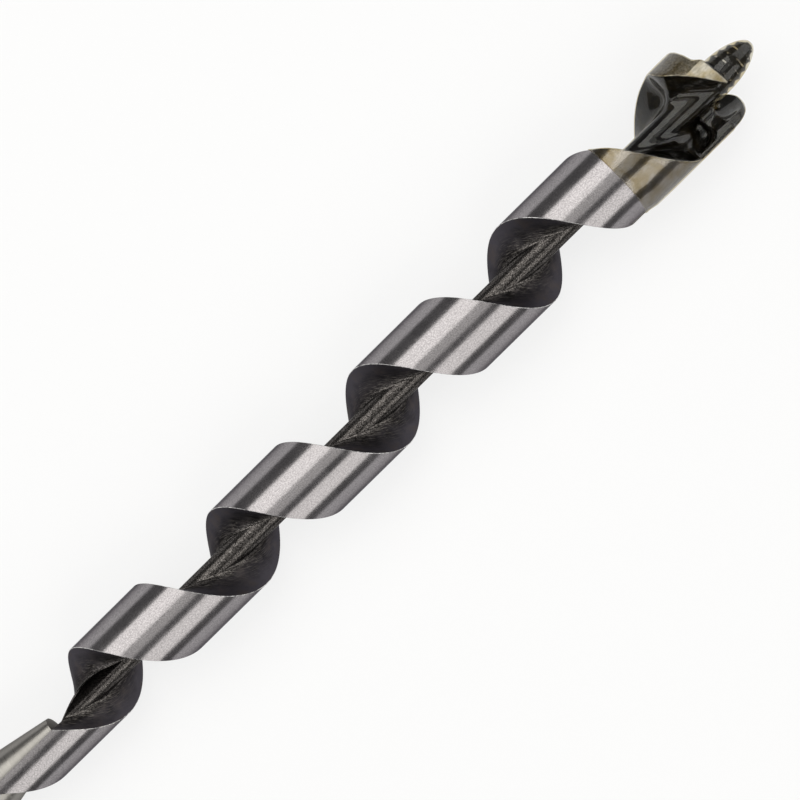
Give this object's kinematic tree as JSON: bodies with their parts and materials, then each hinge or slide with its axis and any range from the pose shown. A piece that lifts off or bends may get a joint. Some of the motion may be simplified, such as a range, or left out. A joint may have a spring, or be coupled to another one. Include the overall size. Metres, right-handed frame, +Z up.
{
  "type": "auger bit",
  "caption": "Solid-centre wood auger bit with a hexagonal shank, helical land, lead screw, cutting lip and side spur, its point dipped in clear protective film.",
  "frame": {"origin": "centre of the shank's end face", "axes": "+X along the bit's axis from the shank to the point of the lead screw, +Z up with the bit lying on its side, square to one flat of the hexagon"},
  "size_m": [0.235, 0.0164, 0.0164],
  "materials": {
    "shank_steel": "satin",
    "blackened_steel": "satin",
    "ground_steel": "satin",
    "head_steel": "satin",
    "peel_film": "gloss"
  },
  "bodies": {
    "root": {"hex_shank": "shank_steel", "neck": "shank_steel", "core": "blackened_steel", "flight": "ground_steel", "head_hub": "blackened_steel", "cutting_wing": "head_steel", "spur": "blackened_steel", "lead_screw": "blackened_steel", "tip_film": "peel_film"}
  },
  "joints": []
}
